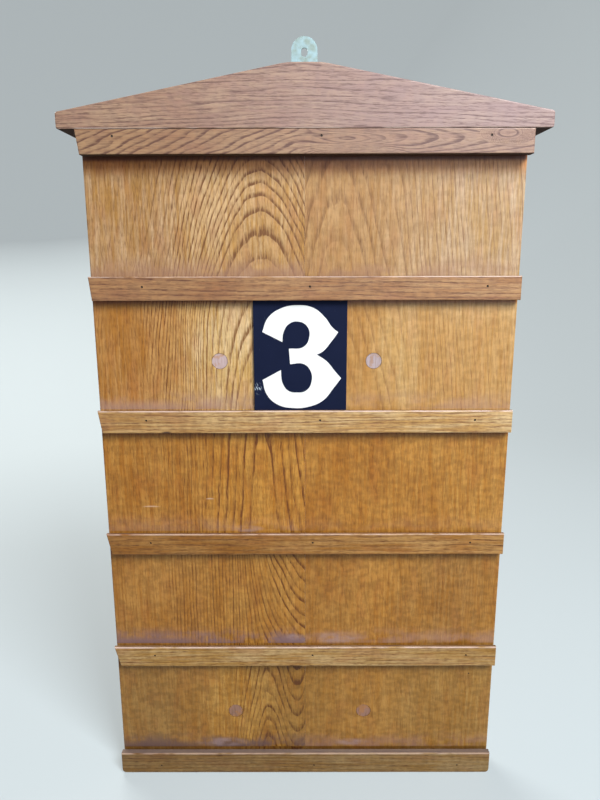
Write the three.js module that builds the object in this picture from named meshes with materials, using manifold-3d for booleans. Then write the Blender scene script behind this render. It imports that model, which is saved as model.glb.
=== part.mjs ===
// A wall-hung hymn board in oak, with five rows for number cards.
// Two boards are glued edge to edge and screwed to two rear battens, with wooden pellets over the screws.
// Each card rail is a face lath on a narrower spacer lath, so that a card groove runs above and below it.
// A gabled pediment is dowelled onto the boards' top ends, and a brass plate let into its back hangs the board.
// Millimetres, +Z up. The front faces -Y, the wall is the plane Y = 0, and the origin is the hanger's slot.

import * as THREE from 'three';
import { mergeVertices } from 'three/addons/utils/BufferGeometryUtils.js';
import Module from 'manifold-3d';

const wasm = await Module();
wasm.setup();

// Boards
const BOARD_WIDTH = 343;
const BOARD_THICKNESS = 16;
const BOARD_ARRIS = 1.5;

// Card rows and rails
const RAIL_COUNT = 5;
const ROW_OPENING = 90.25;
const RAIL_HEIGHT = 19;
const RAIL_FACE = 4.25;
const RAIL_ARRIS = 0.8;
const BOTTOM_RAIL_HEIGHT = 20.5;
const BOTTOM_RAIL_FACE = 6.5;
const BOTTOM_RAIL_CORNER = 4;
const GROOVE_WIDTH = 3;
const LOWER_GROOVE = 5;
const UPPER_GROOVE = 8;

// Cornice and pediment
const CORNICE_HEIGHT = 18;
const CORNICE_FACE = 11.5;
const PEDIMENT_OVERHANG = 13.5;
const PEDIMENT_HEIGHT = 45.5;
const PEDIMENT_END_HEIGHT = 12;
const PEDIMENT_FLAT = 26;
const PEDIMENT_FLAT_EASE = 6;
const PEDIMENT_CORNER = 2;
const PEDIMENT_ARRIS = 1;
const DOWEL_DIAMETER = 8;
const DOWEL_LENGTH = 30;
const DOWEL_CHAMFER = 1;
const DOWEL_INNER = 45;
const DOWEL_END_INSET = 51.5;

// Rear battens, their screws and the pellets over the screws
const BATTEN_HEIGHT = 45;
const BATTEN_THICKNESS = 12;
const BATTEN_INSET = 20;
const BATTEN_ARRIS = 1;
const UPPER_BATTEN_DROP = 49.75;
const LOWER_BATTEN_DROP = 51.75;
const UPPER_SCREWS = { left: -70, right: 56.5 };
const LOWER_SCREWS = { left: -64.75, right: 54 };
const COUNTERBORE_DEPTH = 6.5;
const PELLET_DIAMETER = 12.75;
const PELLET_RECESS = 0.3;
const PELLET_CHAMFER = 0.6;
const BATTEN_SCREW = { head: 8, shank: 4, point: 5, slotWidth: 1, slotDepth: 1 };
const BATTEN_SCREW_COVER = 1.5;

// Panel pins: how far the outer ones stand in from the left and right ends, and the middle one from the joint
const PIN_PLACES = {
  cornice: { left: 28, middle: 12.5, right: 32.5 },
  rail_1: { left: 42.5, middle: 4, right: 27 },
  rail_2: { left: 40, middle: 12.5, right: 31 },
  rail_3: { left: 38, middle: 6.5, right: 29 },
  rail_4: { left: 36, middle: 6.5, right: 27 },
  rail_5: { left: 37, middle: 8, right: 30 }
};
const PIN_HEAD = 1.8;
const PIN_HEAD_HEIGHT = 0.8;
const PIN_SHANK = 1.2;
const PIN_POINT = 2;
const PIN_SET = 0.6;
const PIN_BITE = 9;

// How far the top corner of a hand-sawn left end stands out past its bottom corner
const END_SKEW = { cornice: 2.5, rail_1: 2, rail_2: 3, rail_3: 4, rail_4: 5, rail_5: 0 };

// Hanger plate
const HANGER_RISE = 17;
const PLATE_THICKNESS = 2;
const TAB_WIDTH = 20.5;
const TAB_TOP = 11.5;
const SLOT_WIDTH = 5;
const SLOT_HEIGHT = 6.6;
const PLATE_BODY_WIDTH = 50;
const PLATE_BODY_HEIGHT = 19;
const PLATE_BODY_CORNER = 4;
const PLATE_SINK = 5;
const PLATE_SCREW_INSET = 8;
const PLATE_SCREW = { head: 7, shank: 3.5, point: 5, slotWidth: 0.9, slotDepth: 0.8 };
const PLATE_SCREW_LENGTH = 22;

// Number card, standing in the second row
const CARD_ROW = 2;
const CARD_WIDTH = 76;
const CARD_CORNER = 1.5;
const CARD_X = -3.75;
const CARD_HEADROOM = 1.45;
const CARD_SIDE_PLAY = 0.6;

// Clearances
const GLUE_LINE = 0.1;
const FIT_GAP = 0.3;
const PIN_GAP = 0.1;
const BORE_LEAD = 1;

// Facets
const PELLET_SIDES = 24;
const SCREW_SIDES = 14;
const PIN_SIDES = 8;
const ARC_STEPS = 4;
const TAB_ARC_STEPS = 8;
const EASE_STEPS = 2;
const MERGE_DISTANCE = 1e-4;

// Levels and planes worked out from the sizes above
const pedimentTop = -HANGER_RISE;
const pedimentBase = pedimentTop - PEDIMENT_HEIGHT;
const corniceBottom = pedimentBase - CORNICE_HEIGHT;
const boardTop = pedimentBase - GLUE_LINE;
const boardBack = -BATTEN_THICKNESS;
const boardFront = boardBack - BOARD_THICKNESS;
const boardMiddle = (boardBack + boardFront) / 2;
const spacerFront = boardFront - GROOVE_WIDTH;
const pedimentDepth = CORNICE_FACE - spacerFront;
const halfWidth = BOARD_WIDTH / 2;

function railTop(number) {
  return corniceBottom - ROW_OPENING - (number - 1) * (RAIL_HEIGHT + ROW_OPENING);
}

const boardBottom = railTop(RAIL_COUNT) - BOTTOM_RAIL_HEIGHT;
const boardHeight = boardTop - boardBottom;

// Finishes
const OAK = { color: 0x9a5a22, roughness: 0.42, metalness: 0 };
const OAK_PELLET = { color: 0x9c6f55, roughness: 0.6, metalness: 0 };
const DEAL = { color: 0xa9814f, roughness: 0.75, metalness: 0 };
const STEEL = { color: 0x6b6763, roughness: 0.45, metalness: 1 };
const BRASS = { color: 0xc9c7a0, roughness: 0.35, metalness: 1 };
const CARD = { color: 0x14161f, roughness: 0.6, metalness: 0 };

// Solids: closed geometries become manifolds to be cut, and come back as geometries
function toSolid(geometry) {
  const bare = geometry.clone();
  bare.deleteAttribute('normal');
  bare.deleteAttribute('uv');
  const merged = mergeVertices(bare, MERGE_DISTANCE);
  const mesh = new wasm.Mesh({
    numProp: 3,
    vertProperties: Float32Array.from(merged.attributes.position.array),
    triVerts: Uint32Array.from(merged.index.array)
  });
  return new wasm.Manifold(mesh);
}

function toGeometry(solid) {
  const mesh = solid.getMesh();
  const geometry = new THREE.BufferGeometry();
  geometry.setAttribute('position', new THREE.BufferAttribute(mesh.vertProperties, 3));
  geometry.setIndex(new THREE.BufferAttribute(mesh.triVerts, 1));
  geometry.computeVertexNormals();
  return geometry;
}

function cut(geometry, tools) {
  const solid = tools.reduce((left, tool) => left.subtract(toSolid(tool)), toSolid(geometry));
  return toGeometry(solid);
}

// A closed outline through corners [x, z, ease], each corner rounded over its own ease
function outline(corners) {
  const shape = new THREE.Shape();
  const points = corners.map(([x, z]) => new THREE.Vector2(x, z));
  corners.forEach(([, , ease = 0], i) => {
    const corner = points[i];
    const before = points.at(i - 1);
    const after = points[(i + 1) % points.length];
    const start = before.clone().sub(corner).setLength(ease).add(corner);
    const end = after.clone().sub(corner).setLength(ease).add(corner);
    if (i === 0) {
      shape.moveTo(start.x, start.y);
    } else {
      shape.lineTo(start.x, start.y);
    }
    if (ease > 0) {
      shape.quadraticCurveTo(corner.x, corner.y, end.x, end.y);
    }
  });
  shape.closePath();
  return shape;
}

// A flat piece sawn to an outline in XZ: its back at Y = 0, its front at Y = -thickness, its arrises eased
function slab(shape, thickness, arris = 0, curveSegments = ARC_STEPS) {
  const geometry = new THREE.ExtrudeGeometry(shape, {
    depth: thickness - 2 * arris,
    bevelEnabled: arris > 0,
    bevelThickness: arris,
    bevelSize: arris,
    bevelOffset: -arris,
    bevelSegments: EASE_STEPS,
    curveSegments
  });
  geometry.translate(0, 0, arris);
  geometry.rotateX(Math.PI / 2);
  return geometry;
}

// A turned piece about the Y axis from [radius, y] points with rising y
function turned(points, sides) {
  return new THREE.LatheGeometry(points.map(([radius, y]) => new THREE.Vector2(radius, y)), sides);
}

// Profiles of the fasteners, from the head at y = 0 towards the point.
// A bore is the same profile grown by a gap, with a lead that opens it past the head.
function screwProfile(size, length, gap = 0, lead = 0) {
  const head = size.head / 2 + gap;
  const shank = size.shank / 2 + gap;
  const headHeight = (size.head - size.shank) / 2;
  return [
    [0, -lead],
    [head, -lead],
    [head, 0],
    [shank, headHeight],
    [shank, length - size.point],
    [0, length + gap]
  ];
}

function pinProfile(length, gap = 0, lead = 0) {
  const head = PIN_HEAD / 2 + gap;
  const shank = PIN_SHANK / 2 + gap;
  return [
    [0, -lead],
    [head, -lead],
    [head, PIN_HEAD_HEIGHT + gap],
    [shank, PIN_HEAD_HEIGHT + gap],
    [shank, length - PIN_POINT],
    [0, length + gap]
  ];
}

function pelletProfile(gap = 0, lead = 0) {
  const radius = PELLET_DIAMETER / 2 + gap;
  const height = COUNTERBORE_DEPTH - PELLET_RECESS - FIT_GAP + gap;
  const chamfer = gap > 0 ? 0 : PELLET_CHAMFER;
  const rim = [[radius, -lead], [radius, height - chamfer]];
  const foot = chamfer > 0 ? [[radius - chamfer, height]] : [];
  return [[0, -lead], ...rim, ...foot, [0, height]];
}

function dowelProfile(gap = 0) {
  const radius = DOWEL_DIAMETER / 2 + gap;
  const half = DOWEL_LENGTH / 2 + gap;
  return [
    [0, -half],
    [radius - DOWEL_CHAMFER, -half],
    [radius, DOWEL_CHAMFER - half],
    [radius, half - DOWEL_CHAMFER],
    [radius - DOWEL_CHAMFER, half],
    [0, half]
  ];
}

// A fastener: where it goes, how it is turned, its solid and the bore that it needs
function fastener(name, finish, geometry, bore, position, rotation = [0, 0, 0]) {
  return { name, finish, geometry, bore, position, rotation };
}

function boreIn(fixing, origin) {
  const [x, y, z] = fixing.position;
  const tool = fixing.bore.clone();
  tool.applyMatrix4(new THREE.Matrix4().makeRotationFromEuler(new THREE.Euler(...fixing.rotation)));
  tool.translate(x - origin[0], y - origin[1], z - origin[2]);
  return tool;
}

function slottedScrew(size, length) {
  const body = turned(screwProfile(size, length), SCREW_SIDES);
  const slot = new THREE.BoxGeometry(2 * size.head, 2 * size.slotDepth, size.slotWidth);
  return cut(body, [slot]);
}

function battenScrew(name, x, z) {
  const length = BOARD_THICKNESS - COUNTERBORE_DEPTH + BATTEN_THICKNESS - BATTEN_SCREW_COVER;
  const geometry = slottedScrew(BATTEN_SCREW, length);
  const bore = turned(screwProfile(BATTEN_SCREW, length, FIT_GAP, FIT_GAP), SCREW_SIDES);
  return fastener(name, STEEL, geometry, bore, [x, boardFront + COUNTERBORE_DEPTH, z]);
}

function pellet(name, x, z) {
  const geometry = turned(pelletProfile(), PELLET_SIDES);
  const bore = turned(pelletProfile(FIT_GAP, PELLET_RECESS + BORE_LEAD), PELLET_SIDES);
  return fastener(name, OAK_PELLET, geometry, bore, [x, boardFront + PELLET_RECESS, z]);
}

function panelPin(name, x, face, z) {
  const length = face + GROOVE_WIDTH + PIN_BITE - PIN_SET;
  const geometry = turned(pinProfile(length), PIN_SIDES);
  const bore = turned(pinProfile(length, PIN_GAP, PIN_SET + BORE_LEAD), PIN_SIDES);
  return fastener(name, STEEL, geometry, bore, [x, spacerFront - face + PIN_SET, z]);
}

function dowel(name, x) {
  const geometry = turned(dowelProfile(), SCREW_SIDES);
  const bore = turned(dowelProfile(FIT_GAP), SCREW_SIDES);
  return fastener(name, DEAL, geometry, bore, [x, boardMiddle, pedimentBase], [Math.PI / 2, 0, 0]);
}

function plateScrew(name, x, z) {
  const geometry = slottedScrew(PLATE_SCREW, PLATE_SCREW_LENGTH);
  const bore = turned(screwProfile(PLATE_SCREW, PLATE_SCREW_LENGTH, FIT_GAP, BORE_LEAD), SCREW_SIDES);
  return fastener(name, BRASS, geometry, bore, [x, 0, z], [0, 0, Math.PI]);
}

const hymnBoard = new THREE.Group();

function add(name, finish, geometry, position, rotation = [0, 0, 0]) {
  const mesh = new THREE.Mesh(geometry, new THREE.MeshStandardMaterial(finish));
  mesh.name = name;
  mesh.position.set(...position);
  mesh.rotation.set(...rotation);
  hymnBoard.add(mesh);
}

function addBored(name, finish, geometry, position, fixings) {
  add(name, finish, cut(geometry, fixings.map((fixing) => boreIn(fixing, position))), position);
}

function addFastener(fixing) {
  add(fixing.name, fixing.finish, fixing.geometry, fixing.position, fixing.rotation);
}

// Fasteners, listed first because the pieces that they hold are bored for them
const battens = [
  { side: 'upper', middle: railTop(1) - RAIL_HEIGHT - UPPER_BATTEN_DROP, screws: UPPER_SCREWS },
  { side: 'lower', middle: railTop(RAIL_COUNT - 1) - RAIL_HEIGHT - LOWER_BATTEN_DROP, screws: LOWER_SCREWS }
];
const battenScrews = battens.map(({ side, middle, screws }) =>
  Object.entries(screws).map(([end, x]) => battenScrew(`batten_screw_${side}_${end}`, x, middle)));
const pellets = battens.flatMap(({ side, middle, screws }) =>
  Object.entries(screws).map(([end, x]) => pellet(`pellet_${side}_${end}`, x, middle)));
const dowelOuter = halfWidth - DOWEL_END_INSET;
const dowels = [-dowelOuter, -DOWEL_INNER, DOWEL_INNER, dowelOuter].map((x, i) =>
  dowel(`pediment_dowel_${i + 1}`, x));

const plateTop = pedimentTop - PLATE_SINK;
const plateScrewLevel = plateTop - PLATE_BODY_HEIGHT / 2;
const plateScrewPlace = PLATE_BODY_WIDTH / 2 - PLATE_SCREW_INSET;
const plateScrews = [
  plateScrew('hanger_screw_left', -plateScrewPlace, plateScrewLevel),
  plateScrew('hanger_screw_right', plateScrewPlace, plateScrewLevel)
];

// The laths that hold the cards: the cornice hangs a groove below it, the bottom rail has one above it only
function lathRow(name, top, height, face, groove, corner = 0) {
  const pins = Object.entries(PIN_PLACES[name]).map(([place, distance]) => {
    const x = { left: distance - halfWidth, middle: distance, right: halfWidth - distance }[place];
    return panelPin(`${name}_pin_${place}`, x, face, top - (groove.above + height - groove.below) / 2);
  });
  return { name, top, height, face, groove, corner, pins };
}

const corniceRow = lathRow(
  'cornice', pedimentBase - GLUE_LINE, CORNICE_HEIGHT - GLUE_LINE, CORNICE_FACE, { above: 0, below: UPPER_GROOVE });
const railRows = Array.from({ length: RAIL_COUNT - 1 }, (_, i) => lathRow(
  `rail_${i + 1}`, railTop(i + 1), RAIL_HEIGHT, RAIL_FACE, { above: LOWER_GROOVE, below: UPPER_GROOVE }));
const bottomRow = lathRow(
  `rail_${RAIL_COUNT}`, railTop(RAIL_COUNT), BOTTOM_RAIL_HEIGHT, BOTTOM_RAIL_FACE,
  { above: LOWER_GROOVE, below: 0 }, BOTTOM_RAIL_CORNER);
const lathRows = [corniceRow, ...railRows, bottomRow];
const pins = lathRows.flatMap((row) => row.pins);

function addLathRow(row) {
  const skew = END_SKEW[row.name];
  const face = outline([
    [-halfWidth, 0, 0],
    [-halfWidth + skew, -row.height, row.corner],
    [halfWidth, -row.height, row.corner],
    [halfWidth, 0, 0]
  ]);
  const facePlace = [0, spacerFront - GLUE_LINE, row.top];
  addBored(`${row.name}_face`, OAK, slab(face, row.face - GLUE_LINE, RAIL_ARRIS), facePlace, row.pins);

  const spacerHeight = row.height - row.groove.above - row.groove.below;
  const spacerLength = BOARD_WIDTH - skew;
  const spacer = new THREE.BoxGeometry(spacerLength, GROOVE_WIDTH - GLUE_LINE, spacerHeight);
  const spacerMiddle = row.top - row.groove.above - spacerHeight / 2;
  const spacerPlace = [skew / 2, (boardFront + spacerFront - GLUE_LINE) / 2, spacerMiddle];
  addBored(`${row.name}_spacer`, OAK, spacer, spacerPlace, row.pins);
}

// Back boards: a section in plan with the outer arrises eased, run the full height
function addBackBoard(name, side) {
  const inner = side * GLUE_LINE / 2;
  const outer = side * halfWidth;
  const section = outline([
    [inner, boardBack],
    [outer, boardBack, BOARD_ARRIS],
    [outer, boardFront, BOARD_ARRIS],
    [inner, boardFront]
  ]);
  const board = new THREE.ExtrudeGeometry(section, {
    depth: boardHeight, bevelEnabled: false, curveSegments: EASE_STEPS
  });
  const fixings = [...battenScrews.flat(), ...pellets, ...pins, ...dowels];
  addBored(name, OAK, board, [0, 0, boardBottom], fixings.filter(({ position }) => position[0] * side > 0));
}

function addBatten({ side, middle }, screws) {
  const end = halfWidth - BATTEN_INSET;
  const half = BATTEN_HEIGHT / 2;
  const shape = outline([[-end, -half], [end, -half], [end, half], [-end, half]]);
  const geometry = slab(shape, BATTEN_THICKNESS - GLUE_LINE, BATTEN_ARRIS);
  addBored(`batten_${side}`, DEAL, geometry, [0, 0, middle], screws);
}

// The plate's outline: a body under the pediment's ridge and a round-topped tab, grown by a gap for its recess
function plateOutline(gap = 0) {
  const tab = TAB_WIDTH / 2 + gap;
  const body = PLATE_BODY_WIDTH / 2 + gap;
  const top = plateTop + gap;
  const bottom = plateTop - PLATE_BODY_HEIGHT - gap;
  const arcCentre = TAB_TOP - TAB_WIDTH / 2;
  const shape = new THREE.Shape();
  shape.moveTo(body - PLATE_BODY_CORNER, top);
  shape.lineTo(tab, top);
  shape.absarc(0, arcCentre, tab, 0, Math.PI, false);
  shape.lineTo(-tab, top);
  shape.lineTo(PLATE_BODY_CORNER - body, top);
  shape.quadraticCurveTo(-body, top, -body, top - PLATE_BODY_CORNER);
  shape.lineTo(-body, bottom + PLATE_BODY_CORNER);
  shape.quadraticCurveTo(-body, bottom, PLATE_BODY_CORNER - body, bottom);
  shape.lineTo(body - PLATE_BODY_CORNER, bottom);
  shape.quadraticCurveTo(body, bottom, body, bottom + PLATE_BODY_CORNER);
  shape.lineTo(body, top - PLATE_BODY_CORNER);
  shape.quadraticCurveTo(body, top, body - PLATE_BODY_CORNER, top);
  return shape;
}

function hangerSlot() {
  const radius = SLOT_WIDTH / 2;
  const reach = (SLOT_HEIGHT - SLOT_WIDTH) / 2;
  const slot = new THREE.Path();
  slot.moveTo(radius, -reach);
  slot.lineTo(radius, reach);
  slot.absarc(0, reach, radius, 0, Math.PI, false);
  slot.lineTo(-radius, -reach);
  slot.absarc(0, -reach, radius, Math.PI, 2 * Math.PI, false);
  slot.closePath();
  return slot;
}

function addHanger() {
  const shape = plateOutline();
  shape.holes.push(hangerSlot());
  addBored('hanger_plate', BRASS, slab(shape, PLATE_THICKNESS, 0, TAB_ARC_STEPS), [0, 0, 0], plateScrews);
}

// Pediment: a gabled block over the full depth, its ridge planed flat, recessed at the back for the hanger
function addPediment() {
  const end = halfWidth + PEDIMENT_OVERHANG;
  const flat = PEDIMENT_FLAT / 2;
  const gable = outline([
    [-end, 0, PEDIMENT_CORNER],
    [end, 0, PEDIMENT_CORNER],
    [end, PEDIMENT_END_HEIGHT, PEDIMENT_CORNER],
    [flat, PEDIMENT_HEIGHT, PEDIMENT_FLAT_EASE],
    [-flat, PEDIMENT_HEIGHT, PEDIMENT_FLAT_EASE],
    [-end, PEDIMENT_END_HEIGHT, PEDIMENT_CORNER]
  ]);
  const place = [0, 0, pedimentBase];
  const recess = slab(plateOutline(FIT_GAP), PLATE_THICKNESS + FIT_GAP + BORE_LEAD);
  recess.translate(0, BORE_LEAD, -pedimentBase);
  const block = cut(slab(gable, pedimentDepth, PEDIMENT_ARRIS), [recess]);
  addBored('pediment', OAK, block, place, [...dowels, ...plateScrews]);
}

// Number card: it stands on the spacer below it and reaches into the groove above
function addCard() {
  const height = LOWER_GROOVE + ROW_OPENING + UPPER_GROOVE - CARD_HEADROOM - FIT_GAP;
  const thickness = GROOVE_WIDTH - 2 * CARD_SIDE_PLAY;
  const half = CARD_WIDTH / 2;
  const shape = outline([
    [-half, 0, CARD_CORNER],
    [half, 0, CARD_CORNER],
    [half, height, CARD_CORNER],
    [-half, height, CARD_CORNER]
  ]);
  const bottom = railTop(CARD_ROW) - LOWER_GROOVE + FIT_GAP;
  add('number_card', CARD, slab(shape, thickness), [CARD_X, boardFront - CARD_SIDE_PLAY, bottom]);
}

addBackBoard('back_board_left', -1);
addBackBoard('back_board_right', 1);
battens.forEach((batten, i) => addBatten(batten, battenScrews[i]));
addPediment();
lathRows.forEach(addLathRow);
addHanger();
addCard();
[...battenScrews.flat(), ...pellets, ...dowels, ...pins, ...plateScrews].forEach(addFastener);

export default hymnBoard;
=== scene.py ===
"""Looks of a wall-hung oak hymn board: varnished oak, worn rails, a painted number card and a brass hanger.

Every material is worked out from the part's own coordinates, in millimetres, so the grain of a piece runs on
round its edges. The grain is a count of growth rings at each point: the dark, porous wood of each year
follows the whole numbers of that count.
"""

import math
from itertools import count

import bpy
from mathutils import Euler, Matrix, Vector

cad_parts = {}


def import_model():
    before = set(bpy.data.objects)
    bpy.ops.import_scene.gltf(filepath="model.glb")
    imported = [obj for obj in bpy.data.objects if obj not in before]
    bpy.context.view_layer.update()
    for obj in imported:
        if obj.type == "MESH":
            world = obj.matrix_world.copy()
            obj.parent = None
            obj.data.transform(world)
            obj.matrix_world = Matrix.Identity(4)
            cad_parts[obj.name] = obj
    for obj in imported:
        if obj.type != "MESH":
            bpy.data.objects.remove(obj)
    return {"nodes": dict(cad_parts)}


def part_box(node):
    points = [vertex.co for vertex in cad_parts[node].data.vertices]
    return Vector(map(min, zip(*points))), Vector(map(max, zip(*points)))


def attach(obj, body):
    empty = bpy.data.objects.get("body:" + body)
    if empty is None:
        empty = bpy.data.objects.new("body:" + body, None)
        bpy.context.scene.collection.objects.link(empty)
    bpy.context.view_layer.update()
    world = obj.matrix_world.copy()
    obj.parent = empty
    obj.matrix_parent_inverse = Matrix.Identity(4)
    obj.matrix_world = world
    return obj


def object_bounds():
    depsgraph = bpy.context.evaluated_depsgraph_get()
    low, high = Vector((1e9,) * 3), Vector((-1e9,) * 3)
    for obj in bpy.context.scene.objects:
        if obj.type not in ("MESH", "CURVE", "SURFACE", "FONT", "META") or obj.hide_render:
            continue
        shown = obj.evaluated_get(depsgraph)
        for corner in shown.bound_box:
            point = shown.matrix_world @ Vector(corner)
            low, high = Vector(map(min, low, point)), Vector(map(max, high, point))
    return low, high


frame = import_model()
nodes = frame["nodes"]
cad_low, cad_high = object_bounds()

MM = 0.001

# Camera, in metres and degrees, fitted to the photograph with the part's sizes fixed. The image is taken to
# be 600 x 800.
CAMERA_PLACE = (-0.00285, -0.56405, -0.1508)
CAMERA_TURN = (77.231, 0.158, 0.0995)
FOCAL_PIXELS = 660.1
IMAGE_LONG_SIDE = 800
SENSOR = 36
CLIP_START = 0.01

# Stage and light, in metres
FLOOR_DROP = 0.0002
FLOOR_COLOUR = (0.27, 0.305, 0.31)
FLOOR_BOUNCE = (0.08, 0.08, 0.08)
FLOOR_ROUGHNESS = 0.9
FLOOR_GLOW = 0.32
FLOOR_TINT = (0.93, 1.0, 1.015)
WALL_DISTANCE = 2.4
WALL_TOP = 3.0
SWEEP_RADIUS = 1.2
SWEEP_STEPS = 16
SWEEP_SIDES = 96
WORLD_COLOUR = (0.97, 0.985, 1.0)
WORLD_LIGHT = 0.03
WORLD_SHOWN = 0.62
SOFTBOXES = {
    "softbox_key": dict(
        place=(0.66, -1.08, 0.88), size=(0.70, 0.70), watts=45, colour=(0.93, 0.97, 1.03),
    ),
    "softbox_fill": dict(
        place=(0.55, -1.60, 0.20), size=(1.4, 1.1), watts=11, colour=(0.90, 0.96, 1.05),
    ),
    "softbox_back": dict(
        place=(-0.90, 1.50, 0.70), size=(1.2, 1.2), watts=40, colour=(1.0, 0.99, 0.97),
    ),
}
SOFTBOX_AIM = (0.0, -0.03, -0.25)

# Noise: its middle value, which is that of a share too, its detail, and how far one seed lies from the next
MIDDLE = 0.5
PLAIN_DETAIL = 2.0
RAGGED_DETAIL = 3.0
RICH_DETAIL = 4.0
SEED_STEP = 7.31

# A round spot is whole out to this share of its radius
SPOT_CORE = 0.4

# Places of the sockets that a mix node has for colours
MIX_SHARE = 0
MIX_FIRST = 6
MIX_SECOND = 7
MIX_RESULT = 2

# Colours that several woods share, as linear light
WHITE = (1, 1, 1)
OAK_HONEY = (0.42, 0.165, 0.015)
# A pale arris colour: partly wear, and partly a painted highlight where light catches the arris.
ARRIS_WEAR_AND_HIGHLIGHT = (0.60, 0.44, 0.36)


def level(node):
    """Bottom and top of a CAD node, in millimetres."""
    low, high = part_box(node)
    return low.z / MM, high.z / MM


def rail_top(number):
    """Top of a rail, counted from the top, in millimetres."""
    return level(f"rail_{number}_face")[1]


def front_of(node):
    """The plane of a CAD node's front, in millimetres."""
    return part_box(node)[0].y / MM


BOARD_FRONT, BOARD_BACK = (corner.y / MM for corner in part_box("back_board_left"))
CORNICE_BOTTOM = level("cornice_face")[0]
ROW_PITCH = rail_top(1) - rail_top(2)
RAIL_HEIGHT = rail_top(1) - level("rail_1_face")[0]


# Materials
class Field:
    """A value over a surface: an output of a node, with arithmetic that adds nodes to the tree."""

    def __init__(self, finish, socket):
        self.finish = finish
        self.socket = socket

    def __add__(self, other):
        return self.finish.math("ADD", self, other)

    def __sub__(self, other):
        return self.finish.math("SUBTRACT", self, other)

    def __rsub__(self, other):
        return self.finish.math("SUBTRACT", other, self)

    def __mul__(self, other):
        return self.finish.math("MULTIPLY", self, other)

    def __truediv__(self, other):
        return self.finish.math("DIVIDE", self, other)

    __radd__ = __add__
    __rmul__ = __mul__


class Finish:
    """A material being made, with the part's coordinates x, y and z in millimetres."""

    def __init__(self, name):
        self.material = bpy.data.materials.new(name)
        self.material.use_nodes = True
        self.tree = self.material.node_tree
        self.shader = self.tree.nodes["Principled BSDF"]
        place = self.node("ShaderNodeTexCoord").outputs["Object"]
        split = self.node("ShaderNodeSeparateXYZ", Vector=Field(self, place))
        self.x, self.y, self.z = (Field(self, out) / MM for out in split.outputs)
        self.place = (self.x, self.y, self.z)
        facing = self.node("ShaderNodeSeparateXYZ")
        self.tree.links.new(self.node("ShaderNodeNewGeometry").outputs["Normal"], facing.inputs[0])
        self.normal_z = Field(self, facing.outputs["Z"])

    def set(self, socket, value):
        """Link a field to a socket, or write a number or a colour into it."""
        if isinstance(value, Field):
            self.tree.links.new(value.socket, socket)
        elif isinstance(value, tuple) and socket.type == "RGBA":
            socket.default_value = (*value, 1)
        else:
            socket.default_value = value

    def node(self, kind, **inputs):
        made = self.tree.nodes.new(kind)
        for name, value in inputs.items():
            self.set(made.inputs[name.replace("_", " ")], value)
        return made

    def math(self, operation, *values):
        made = self.node("ShaderNodeMath")
        made.operation = operation
        for socket, value in zip(made.inputs, values):
            self.set(socket, value)
        return Field(self, made.outputs[0])

    def band(self, value, start, end):
        """0 before start, 1 after end, smooth between; start may be above end."""
        low, high = min(start, end), max(start, end)
        made = self.node("ShaderNodeMapRange", Value=value, From_Min=low, From_Max=high)
        made.interpolation_type = "SMOOTHSTEP"
        rising = Field(self, made.outputs["Result"])
        return rising if start < end else 1 - rising

    def band_at(self, value, origin, offsets):
        """A band that starts and ends at these offsets from an origin."""
        start, end = offsets
        return self.band(value, origin + start, origin + end)

    def past(self, value, start, ease):
        """How far a value is past start, and 0 before it, with an eased turn."""
        return self.math("SMOOTH_MAX", value - start, 0.0, ease)

    def length(self, first, second):
        """Length of the long side of a right-angled triangle with these two others."""
        return self.math("SQRT", first * first + second * second)

    def spot(self, first, second, radius=1.0):
        """1 within a round spot; first and second are distances from its middle."""
        return self.band(self.length(first, second), radius, radius * SPOT_CORE)

    def noise(self, place, lump, seed, detail=PLAIN_DETAIL):
        """Soft noise about its middle, whose lumps have this size along the directions of place."""
        parts = [part / size + seed * SEED_STEP for part, size in zip(place, lump)]
        vector = self.node("ShaderNodeCombineXYZ", X=parts[0], Y=parts[1], Z=parts[2])
        placed = Field(self, vector.outputs[0])
        made = self.node("ShaderNodeTexNoise", Vector=placed, Scale=1.0, Detail=detail)
        return Field(self, made.outputs[0])

    def waves(self, place, lump, seed, swing):
        """The same noise about 0, and as strong as swing."""
        return (self.noise(place, lump, seed) - MIDDLE) * swing

    def blend(self, kind, share, colour, other):
        made = self.tree.nodes.new("ShaderNodeMix")
        made.data_type = "RGBA"
        made.blend_type = kind
        self.set(made.inputs[MIX_SHARE], share)
        self.set(made.inputs[MIX_FIRST], colour)
        self.set(made.inputs[MIX_SECOND], other)
        return Field(self, made.outputs[MIX_RESULT])

    def mix(self, share, colour, other):
        return self.blend("MIX", share, colour, other)

    def tint(self, colour, by):
        return self.blend("MULTIPLY", 1.0, colour, by)

    def paint(self, **inputs):
        """Set inputs of the surface shader."""
        for name, value in inputs.items():
            self.set(self.shader.inputs[name.replace("_", " ")], value)

    def bump(self, height, depth):
        made = self.node("ShaderNodeBump", Height=height, Strength=1.0, Distance=depth * MM)
        return Field(self, made.outputs["Normal"])

    def give(self, *names):
        """Put the material on these CAD nodes."""
        for name in names:
            slots = nodes[name].data.materials
            slots.clear()
            slots.append(self.material)


def at_least(least, share):
    """A share that runs from least to 1 instead of from 0 to 1."""
    return least + (1 - least) * share


# Oak: its colours, as linear light
OAK_PALE = (0.58, 0.29, 0.055)
OAK_RED = (0.42, 0.145, 0.022)
OAK_DARK = (0.16, 0.046, 0.004)
RIPPLE_PALE = (1.16, 1.16, 1.18)
RIPPLE_DARK = (0.84, 0.83, 0.80)
# A pale greyish-pink veil over the oak: partly cloudy varnish, and partly a painted sheen.
BLOOM_AND_SHEEN_COLOUR = (0.39, 0.30, 0.325)
DEEP_BLOOM = 0.5
PLAIN_MOTTLE = 0.55

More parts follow.
